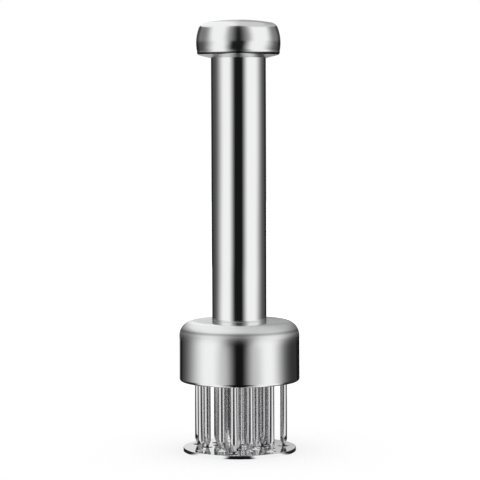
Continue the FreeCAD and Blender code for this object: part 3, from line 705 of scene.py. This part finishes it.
def knob_outline(radius, seat, top):
    """The knob's outline, from the top of its socket down and round to the middle of its crown.

    The side is an arc about the belt and the crown a large arc about a point on the axis. The round between
    them is an arc whose centre is as far inside both as its own radius.
    """
    belt = seat + KNOB_BELT
    crown_centre = top - KNOB_CROWN_RADIUS
    depth = belt - crown_centre
    side_reach = radius - KNOB_ROUND
    crown_reach = KNOB_CROWN_RADIUS - KNOB_ROUND
    rise = (crown_reach**2 - side_reach**2 - depth**2) / (2 * depth)
    out = math.sqrt(side_reach**2 - rise**2)
    side_top = math.atan2(rise, out)
    crown_start = math.atan2(rise + depth, out)
    side_bottom = math.asin((KNOB_LIP_HEIGHT - KNOB_BELT) / radius)
    under = np.array([radius - KNOB_LIP_INSET, seat + KNOB_LIP_RISE])
    side_start = np.array([radius * math.cos(side_bottom), belt + radius * math.sin(side_bottom)])
    socket_top = seat + KNOB_SOCKET_DEPTH
    seat_edge = tube_radius + KNOB_SEAT_MARGIN
    seat_points = rounded(
        [
            (0.0, socket_top, 0),
            (KNOB_SOCKET_RADIUS, socket_top, EDGE_BREAK),
            (KNOB_SOCKET_RADIUS, seat, EDGE_BREAK),
            (seat_edge, seat, EDGE_BREAK * 2),
            (under[0], under[1], 0),
        ],
        closed=False,
    )
    return np.concatenate(
        [
            seat_points,
            arc_to(under, side_start, KNOB_LIP_ROUND, LIP_STEPS),
            arc((0, belt), radius, side_bottom, side_top, SIDE_STEPS),
            arc((out, belt + rise), KNOB_ROUND, side_top, crown_start, SHOULDER_STEPS)[1:],
            arc((0, crown_centre), KNOB_CROWN_RADIUS, crown_start, math.pi / 2, CROWN_STEPS)[1:-1],
            [(0.0, top)],
        ]
    )


knob_low, knob_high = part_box("knob")
knob = make_piece("turned_knob", *turned(knob_outline(knob_high.x, knob_low.z, knob_high.z)))
knob_steel, tree, shader, roughness = steel("knob_steel", KNOB_GLOSS, ROUND_LINES)
level = maths(tree, "SUBTRACT", axis_socket(tree, "Z"), knob_low.z + KNOB_LIP_RISE)
# Painted shade: the band under the lip is coloured dark where shade falls.
paint_dark_band(tree, shader, level, *LIP_SHADE_BAND, LIP_PAINTED_SHADE)
unpolished = ease(tree, level, *LIP_UNPOLISHED)
tree.links.new(maths(tree, "ADD", roughness, unpolished), shader.inputs["Roughness"])
dress(knob, knob_steel)
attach(knob, "handle")
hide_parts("knob")

# ----------------------------------------------------------------------------------------------- needles
# Round steel needle blades ground to a four-sided point, in three rings. Each hangs by its countersunk head in
# the holder inside the bell, and its point stands in a hole of the guard plate.

NEEDLE_RADIUS = 1.6 * MM
NEEDLE_HEAD_RADIUS = 2.5 * MM
NEEDLE_HEAD_TAPER = math.tan(math.radians(30))
POINT_LENGTH = 6.0 * MM
POINT_FLAT = 0.12 * MM
POINT_TURN = math.radians(45)
POINT_REACH = math.sqrt(2) * 1.1  # up to a tenth past where the facets' corners end, in point lengths
POINT_LEVELS = 22
SHANK_HOLD = 1 * MM  # the shank's first level past the point, and the levels beside the head's creases
CREASE_HOLD = 0.1 * MM
NEEDLE_STEPS = 64
NEEDLE_COLOUR = (0.8, 0.8, 0.81, 1)
NEEDLE_GLOSS = (0.17, 0.2)
NEEDLE_LINES = ((1, 1, 0.01), 900.0, 0.00002 * MM)  # grinding lines, which run up the shank


def needle(place, low, high):
    """A needle about its own axis: by height and angle, the least radius of shank or head cone and facets.

    A ground facet leaves the axis by the point's flat at the tip and reaches the shank after the point's
    length. Its distance is divided by the cosine of the angle from its middle.
    """
    head = high - (NEEDLE_HEAD_RADIUS - NEEDLE_RADIUS) / NEEDLE_HEAD_TAPER
    ground = low + POINT_LENGTH * POINT_REACH
    levels = [ground + SHANK_HOLD, head - CREASE_HOLD, head, head + CREASE_HOLD, high - CREASE_HOLD, high]
    height = np.concatenate([np.linspace(low, ground, POINT_LEVELS), levels])
    turn = np.arange(NEEDLE_STEPS) * 2 * math.pi / NEEDLE_STEPS
    shank = np.maximum(NEEDLE_RADIUS, NEEDLE_HEAD_RADIUS - (high - height) * NEEDLE_HEAD_TAPER)
    facet = POINT_FLAT + (height - low) * NEEDLE_RADIUS / POINT_LENGTH
    from_middle = (turn - POINT_TURN + math.pi / 4) % (math.pi / 2) - math.pi / 4
    radius = np.minimum(shank, facet / np.cos(from_middle)[:, None])
    across = place[0] + radius * np.cos(turn)[:, None]
    back = place[1] + radius * np.sin(turn)[:, None]
    points = np.stack(np.broadcast_arrays(across, back, height), axis=-1).reshape(-1, 3)
    faces = grid_faces(0, len(turn), len(height), True, False).tolist()
    ring = np.arange(len(turn)) * len(height)
    faces.append(ring[::-1].tolist())
    faces.append((ring + len(height) - 1).tolist())
    return points, faces


needle_steel = steel("needle_steel", NEEDLE_GLOSS, NEEDLE_LINES, NEEDLE_COLOUR)[0]
needle_names = sorted(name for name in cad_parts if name.startswith("needle_blade"))
for name in needle_names:
    low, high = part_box(name)
    middle = (low + high) / 2
    blade = make_piece(name.replace("needle_blade", "ground_needle"), *needle(middle, low.z, high.z))
    dress(blade, needle_steel)
    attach(blade, "handle")
    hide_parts(name)

# ------------------------------------------------------------------------------------------- guard plate
# A round plate stamped from sheet steel and polished, with a hole for each needle and a countersunk hole in
# the middle for its screw. Every edge is rolled a little round.

PLATE_EDGE_ROUND = 0.2 * MM
PLATE_HOLD = 0.15 * MM  # width of the flat band beside each rounded edge
GUARD_HOLE_RADIUS = 2.25 * MM
GUARD_HOLE_ROUND = 0.3 * MM
SCREW_HOLE_RADIUS = 1.53 * MM
SCREW_SINK_RADIUS = 2.93 * MM
SCREW_SINK_HEIGHT = 1.4 * MM
SCREW_SINK_BREAK = 0.03 * MM
SCREW_HOLE_BREAK = 0.05 * MM
HOLE_STEPS = 48
SAME_PLACE = 1e-7  # closer than this, two points of the fill are one
PLATE_LINES = (EVEN, 400.0, 0.0002 * MM)


def pierced_plate(edges):
    """A flat plate from the walls of its rim and holes, with both faces filled between the walls' end rings.

    Each edge is an outline, the number of its steps and its centre. The fill is a triangulation of the plane
    that keeps to the rings and leaves the holes open.
    """
    points, faces, rings = [], [], []
    count = 0
    for outline, steps, centre in edges:
        points.append(spun(outline, steps, centre))
        faces += grid_faces(count, steps, len(outline), True, False).tolist()
        rings.append(count + np.arange(steps) * len(outline))
        count += steps * len(outline)
    points = np.concatenate(points)
    for last in (False, True):
        ends = [ring + (len(edge[0]) - 1 if last else 0) for ring, edge in zip(rings, edges)]
        order = np.concatenate(ends)
        starts = np.cumsum([0] + [len(end) for end in ends])
        loops = [list(range(start, stop)) for start, stop in zip(starts[:-1], starts[1:])]
        flat = [tuple(place) for place in points[order, :2]]
        _, _, fill, source, _, holders = delaunay_2d_cdt(flat, [], loops, 1, SAME_PLACE)
        kept = order[np.array([names[0] for names in source])]
        solid = np.array([len(inside) == 1 for inside in holders])
        triangles = kept[np.array(fill)[solid]]
        heading = 1 if last else -1
        a, b, c = (points[triangles[:, k], :2] for k in range(3))
        area = (b - a)[:, 0] * (c - a)[:, 1] - (b - a)[:, 1] * (c - a)[:, 0]
        turned_wrong = area * heading < 0
        triangles[turned_wrong] = triangles[turned_wrong][:, ::-1]
        faces += triangles.tolist()
    return points, faces


def edge_outline(radius, low, high, size, side):
    """The outline of a rounded edge from the lower face to the upper: side is 1 for a rim, -1 for a hole."""
    inside = radius - side * (size + PLATE_HOLD)
    return rounded(
        [(inside, low, 0), (radius, low, size), (radius, high, size), (inside, high, 0)],
        closed=False,
    )


plate_low, plate_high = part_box("guard_plate")
rim = edge_outline(plate_high.x, plate_low.z, plate_high.z, PLATE_EDGE_ROUND, 1)
screw_hole = rounded(
    [
        (SCREW_SINK_RADIUS + PLATE_HOLD, plate_low.z, 0),
        (SCREW_SINK_RADIUS, plate_low.z, SCREW_SINK_BREAK),
        (SCREW_HOLE_RADIUS, SCREW_SINK_HEIGHT, SCREW_SINK_BREAK),
        (SCREW_HOLE_RADIUS, plate_high.z, SCREW_HOLE_BREAK),
        (SCREW_HOLE_RADIUS + PLATE_HOLD * 2, plate_high.z, 0),
    ],
    closed=False,
)
plate_edges = [(rim, AROUND_STEPS, (0.0, 0.0)), (screw_hole, HOLE_STEPS, (0.0, 0.0))]
needle_hole = edge_outline(GUARD_HOLE_RADIUS, plate_low.z, plate_high.z, GUARD_HOLE_ROUND, -1)
for name in needle_names:
    low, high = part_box(name)
    middle = (low + high) / 2
    plate_edges.append((needle_hole, HOLE_STEPS, (middle.x, middle.y)))
plate = make_piece("pierced_guard_plate", *pierced_plate(plate_edges))
dress(plate, steel("plate_steel", BRIGHT_GLOSS, PLATE_LINES)[0])
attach(plate, "guard")
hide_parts("guard_plate")

# --------------------------------------------------------------------------------------------- guide rod
# A bright ground steel rod that stands on the plate on a small foot, held by the screw from below. It slides
# up through the bush in the head, and its thinner end carries the collar and the nut in the handle.

ROD_FOOT_RADIUS = 4.6 * MM
ROD_FOOT_HEIGHT = 1.3 * MM
ROD_FOOT_ROUND = 0.35 * MM
ROD_RADIUS = 3.0 * MM
ROD_ROOT_ROUND = 0.3 * MM
ROD_END_RADIUS = 2.5 * MM
ROD_END_BEVEL = 0.5 * MM
ROD_TAP_RADIUS = 1.53 * MM
ROD_TAP_DEPTH = 9.5 * MM
ROD_STEPS = 96

rod_low, rod_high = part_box("guide_rod")
collar_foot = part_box("rod_collar")[0].z
foot_top = rod_low.z + ROD_FOOT_HEIGHT
rod_outline = rounded(
    [
        (0.0, rod_low.z + ROD_TAP_DEPTH, 0),
        (ROD_TAP_RADIUS, rod_low.z + ROD_TAP_DEPTH, EDGE_BREAK),
        (ROD_TAP_RADIUS, rod_low.z, EDGE_BREAK),
        (ROD_FOOT_RADIUS, rod_low.z, EDGE_BREAK),
        (ROD_FOOT_RADIUS, foot_top, ROD_FOOT_ROUND),
        (ROD_RADIUS, foot_top, ROD_ROOT_ROUND),
        (ROD_RADIUS, collar_foot, EDGE_BREAK),
        (ROD_END_RADIUS, collar_foot, EDGE_BREAK),
        (ROD_END_RADIUS, rod_high.z - ROD_END_BEVEL, EDGE_BREAK),
        (ROD_END_RADIUS - ROD_END_BEVEL, rod_high.z, EDGE_BREAK),
        (0.0, rod_high.z, 0),
    ],
    closed=False,
)
rod = make_piece("ground_guide_rod", *turned(rod_outline, ROD_STEPS))
dress(rod, needle_steel)
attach(rod, "guard")
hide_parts("guide_rod")

# --------------------------------------------------------------------------------- turned aluminium parts
# The holder that the needles hang in, the plate behind it, the sleeve, the ferrule and the plug are aluminium,
# turned on a lathe and left as they come off it: satin, with the fine rings of the tool.

ALUMINIUM_COLOUR = (0.72, 0.72, 0.73, 1)
ALUMINIUM_GLOSS = (0.28, 0.4)
ALUMINIUM_RINGS = (0.25 * MM, 0.004 * MM)  # pitch and depth
TURNED_PATCH_SCALE = 120.0


def turned_metal(name, colour, gloss, rings):
    """Lathe-turned metal: a sine bump by distance from the axis plus height, with a slightly uneven gloss."""
    material, tree = new_tree(name)
    shader = tree.nodes.new("ShaderNodeBsdfPrincipled")
    shader.inputs["Base Color"].default_value = colour
    shader.inputs["Metallic"].default_value = 1.0
    patches = noise(tree, TURNED_PATCH_SCALE, PATCH_DETAIL, EVEN)
    tree.links.new(between(tree, patches, *gloss), shader.inputs["Roughness"])
    pitch, depth = rings
    along = maths(tree, "ADD", distance_from_axis(tree), axis_socket(tree, "Z"))
    wave = maths(tree, "SINE", times(tree, along, 2 * math.pi / pitch))
    bump = tree.nodes.new("ShaderNodeBump")
    bump.inputs["Distance"].default_value = depth
    tree.links.new(wave, bump.inputs["Height"])
    tree.links.new(bump.outputs["Normal"], shader.inputs["Normal"])
    set_surface(tree, shader.outputs[0])
    return material


aluminium = turned_metal("turned_aluminium", ALUMINIUM_COLOUR, ALUMINIUM_GLOSS, ALUMINIUM_RINGS)
for name in ("needle_holder", "backing_plate", "head_sleeve", "handle_ferrule", "top_plug"):
    dress(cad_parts[name], aluminium)

# ------------------------------------------------------------------------------------- small steel parts
# The guard screw, the rod's collar and lock nut, and the notched nut under the holder are plain stainless
# steel, turned bright but not polished.

PLAIN_COLOUR = (0.6, 0.6, 0.61, 1)
PLAIN_GLOSS = (0.25, 0.36)
PLAIN_RINGS = (0.2 * MM, 0.003 * MM)

plain = turned_metal("plain_steel", PLAIN_COLOUR, PLAIN_GLOSS, PLAIN_RINGS)
for name in ("guard_screw", "rod_collar", "lock_nut", "clamp_nut"):
    dress(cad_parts[name], plain)

# ----------------------------------------------------------------------------------------- return spring
# A compression spring coiled from round stainless wire, with a closed coil at each end that is ground flat on
# its seat. It stands on the rod's collar and pushes on the plug above. In the tool it shortens as the rod
# rises; here it is built at one length.

WIRE_RADIUS = 0.65 * MM
WIRE_SIDES = 16
WIRE_STEPS = 40  # for each turn of the spring
WIRE_GLOSS = (0.2, 0.28)
WIRE_LINES = ((1, 1, 0.2), 1500.0, 0.001 * MM)
SPRING_TURNS = 8
CLOSED_TURNS = 0.9
OPENING_TURNS = 0.4  # over which the closed pitch eases to the open one
CLOSED_PITCH = 2.06 * WIRE_RADIUS
GROUND_OFF = 0.7 * WIRE_RADIUS  # what grinding takes off the wire at each end


def coiled(radius, low, high):
    """Points and faces of a round wire wound into a spring.

    Its middle goes round at the radius by cosine and sine. Its height is the running sum of a pitch that is
    one wire thick in the end coils and eases to an even pitch between them. The wire's circle is radius plus
    wire x cosine, and height plus wire x sine. What passes the two seats is ground off flat.
    """
    turns = np.linspace(0, SPRING_TURNS, SPRING_TURNS * WIRE_STEPS + 1)
    from_end = np.minimum(turns, SPRING_TURNS - turns)
    share = np.clip((from_end - CLOSED_TURNS + OPENING_TURNS / 2) / OPENING_TURNS, 0, 1)
    share = share**2 * (3 - 2 * share)
    step = turns[1]
    middle = (share[1:] + share[:-1]) / 2
    rise = high - low - 2 * (WIRE_RADIUS - GROUND_OFF)
    open_pitch = (rise - CLOSED_PITCH * (1 - middle).sum() * step) / (middle.sum() * step)
    pitch = CLOSED_PITCH + (open_pitch - CLOSED_PITCH) * middle
    height = low + WIRE_RADIUS - GROUND_OFF + np.concatenate([[0], np.cumsum(pitch) * step])
    around = np.arange(WIRE_SIDES) * 2 * math.pi / WIRE_SIDES
    out = radius + WIRE_RADIUS * np.cos(around)[None, :]
    up = np.clip(height[:, None] + WIRE_RADIUS * np.sin(around), low, high)
    turn = turns[:, None] * 2 * math.pi
    points = np.stack([out * np.cos(turn), out * np.sin(turn), up], axis=-1).reshape(-1, 3)
    faces = grid_faces(0, len(turns), len(around), False, True).tolist()
    ring = np.arange(len(around))
    faces.append(ring.tolist())
    faces.append((ring[::-1] + len(points) - len(ring)).tolist())
    return points, faces


spring_low, spring_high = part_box("return_spring")
spring = make_piece("coiled_spring", *coiled(spring_high.x - WIRE_RADIUS, spring_low.z, spring_high.z))
dress(spring, steel("spring_wire", WIRE_GLOSS, WIRE_LINES, PLAIN_COLOUR)[0])
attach(spring, "handle")
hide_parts("return_spring")
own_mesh(spring)

# ------------------------------------------------------------------------------------------------- bush
# A flanged bush of brass, turned on a lathe and pressed into the sleeve's lower end. The rod slides in it, and
# the brass doesn't gall on the steel.

BRASS_COLOUR = (0.72, 0.56, 0.3, 1)
BRASS_GLOSS = (0.2, 0.3)
BRASS_RINGS = (0.2 * MM, 0.002 * MM)

brass = turned_metal("brass", BRASS_COLOUR, BRASS_GLOSS, BRASS_RINGS)
dress(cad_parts["guide_bush"], brass)

# ----------------------------------------------------------------------------------------------- buffer
# A ring of black rubber on the ferrule, which the collar comes down on. It is moulded, with a matt, slightly
# mottled skin.

RUBBER_COLOUR = (0.03, 0.03, 0.03, 1)
RUBBER_GLOSS = (0.6, 0.8)
MOTTLE_SCALE = 300.0
MOTTLE_DETAIL = 4.0

rubber, tree = new_tree("black_rubber")
shader = tree.nodes.new("ShaderNodeBsdfPrincipled")
shader.inputs["Base Color"].default_value = RUBBER_COLOUR
mottle = noise(tree, MOTTLE_SCALE, MOTTLE_DETAIL, EVEN)
tree.links.new(between(tree, mottle, *RUBBER_GLOSS), shader.inputs["Roughness"])
set_surface(tree, shader.outputs[0])
dress(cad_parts["stop_buffer"], rubber)
